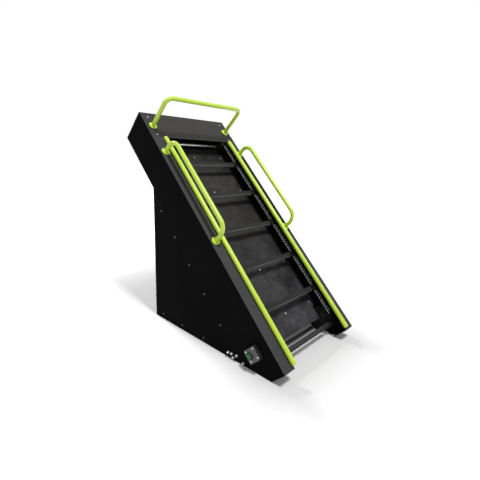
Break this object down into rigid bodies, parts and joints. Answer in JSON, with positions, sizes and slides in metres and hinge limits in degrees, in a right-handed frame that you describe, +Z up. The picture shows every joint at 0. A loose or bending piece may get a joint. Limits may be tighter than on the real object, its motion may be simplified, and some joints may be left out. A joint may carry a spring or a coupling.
{
  "type": "incline ladder climber",
  "caption": "Incline ladder climber: a leaning steel housing with rungs that run down it on two chains, with green rails, a top handle and grab handles.",
  "frame": {"origin": "on the floor, at the middle of the bounding box's base", "axes": "+Z up; +Y backwards, towards the upper end of the ladder; +X to the right of someone who faces the rungs"},
  "size_m": [0.8696, 1.615, 1.6464],
  "materials": {
    "black_steel": "satin black powder coat, fine texture",
    "cover_steel": "dark grey powder coat, satin",
    "deck_steel": "dark grey powder coat, scuffed and dusty",
    "frame_steel": "black paint, semi-matte",
    "foot_rubber": "matte black rubber",
    "lime_steel": "lime green powder coat, semi-gloss",
    "rung_metal": "matte dark grey coating",
    "chain_steel": "oiled roller chain steel",
    "shaft_steel": "turned bright steel",
    "motor_paint": "dark enamel, semi-gloss",
    "belt_rubber": "black rubber belt",
    "box_plastic": "black moulded plastic",
    "plate_metal": "light grey satin plate",
    "button_plastic": "green button with a lighter centre"
  },
  "bodies": {
    "housing": {"left_side_panel": "black_steel", "right_side_panel": "black_steel", "left_inner_plate": "black_steel", "right_inner_plate": "black_steel", "left_rear_panel": "black_steel", "right_rear_panel": "black_steel", "top_cover": "cover_steel", "back_cover": "cover_steel", "rear_cover": "cover_steel", "deck": "deck_steel", "left_frame": "frame_steel", "right_frame": "frame_steel", "front_cross_tube": "frame_steel", "rear_cross_tube": "frame_steel", "floor_tie_plate": "frame_steel", "middle_cross_tube": "frame_steel", "motor_mount": "frame_steel", "left_shaft_bearing": "frame_steel", "right_shaft_bearing": "frame_steel", "front_left_foot": "foot_rubber", "front_right_foot": "foot_rubber", "rear_left_foot": "foot_rubber", "rear_right_foot": "foot_rubber", "left_edge_tube": "lime_steel", "right_edge_tube": "lime_steel", "left_grab_handle": "lime_steel", "right_grab_handle": "lime_steel", "top_handle": "lime_steel", "left_stub_axle": "shaft_steel", "right_stub_axle": "shaft_steel", "gear_motor": "motor_paint", "controller_box": "motor_paint", "drive_belt": "belt_rubber", "switch_box": "box_plastic", "switch_plate": "plate_metal"},
    "front_run": {"rung_1": "rung_metal", "rung_2": "rung_metal", "rung_3": "rung_metal", "rung_4": "rung_metal", "rung_5": "rung_metal", "rung_6": "rung_metal", "left_front_chain": "chain_steel", "right_front_chain": "chain_steel"},
    "return_run": {"return_rung_1": "rung_metal", "return_rung_2": "rung_metal", "return_rung_3": "rung_metal", "return_rung_4": "rung_metal", "return_rung_5": "rung_metal", "return_rung_6": "rung_metal", "left_return_chain": "chain_steel", "right_return_chain": "chain_steel"},
    "top_shaft": {"top_shaft": "shaft_steel", "left_top_sprocket": "chain_steel", "right_top_sprocket": "chain_steel", "drive_pulley": "shaft_steel"},
    "lower_sprockets": {"left_lower_sprocket": "chain_steel", "right_lower_sprocket": "chain_steel", "lower_rung": "rung_metal"},
    "motor_pulley": {"motor_pulley": "shaft_steel"},
    "start_button": {"start_button": "button_plastic"}
  },
  "joints": [
    {"name": "rungs_down", "type": "slide", "parent": "housing", "child": "front_run", "axis": [0, -0.6984, -0.7157], "range_m": [0, 0.06]},
    {"name": "return_up", "type": "slide", "parent": "housing", "child": "return_run", "axis": [0, 0.6984, 0.7157], "range_m": [0, 0.0602]},
    {"name": "top_shaft_turn", "type": "hinge", "parent": "housing", "child": "top_shaft", "pos_m": [0.0188, 0.58935, 1.33479], "axis": [1, 0, 0], "range_deg": [0, 43.12]},
    {"name": "lower_sprockets_turn", "type": "hinge", "parent": "housing", "child": "lower_sprockets", "pos_m": [0.0188, -0.59724, 0.11885], "axis": [1, 0, 0], "range_deg": [0, 43.12]},
    {"name": "motor_pulley_turn", "type": "hinge", "parent": "housing", "child": "motor_pulley", "pos_m": [0.0188, -0.10187, 0.35], "axis": [1, 0, 0], "range_deg": [0, 86.25]},
    {"name": "start_button_press", "type": "slide", "parent": "housing", "child": "start_button", "axis": [1, 0, 0], "range_m": [0, 0.004], "stiffness_N_per_m": 600, "springref_m": -0.002}
  ],
  "couplings": [
    {"joint": "return_up", "follows": "rungs_down", "ratio": 1},
    {"joint": "top_shaft_turn", "follows": "rungs_down", "rad_per_m": 12.515},
    {"joint": "lower_sprockets_turn", "follows": "rungs_down", "rad_per_m": 12.515},
    {"joint": "motor_pulley_turn", "follows": "rungs_down", "rad_per_m": 25.03}
  ]
}
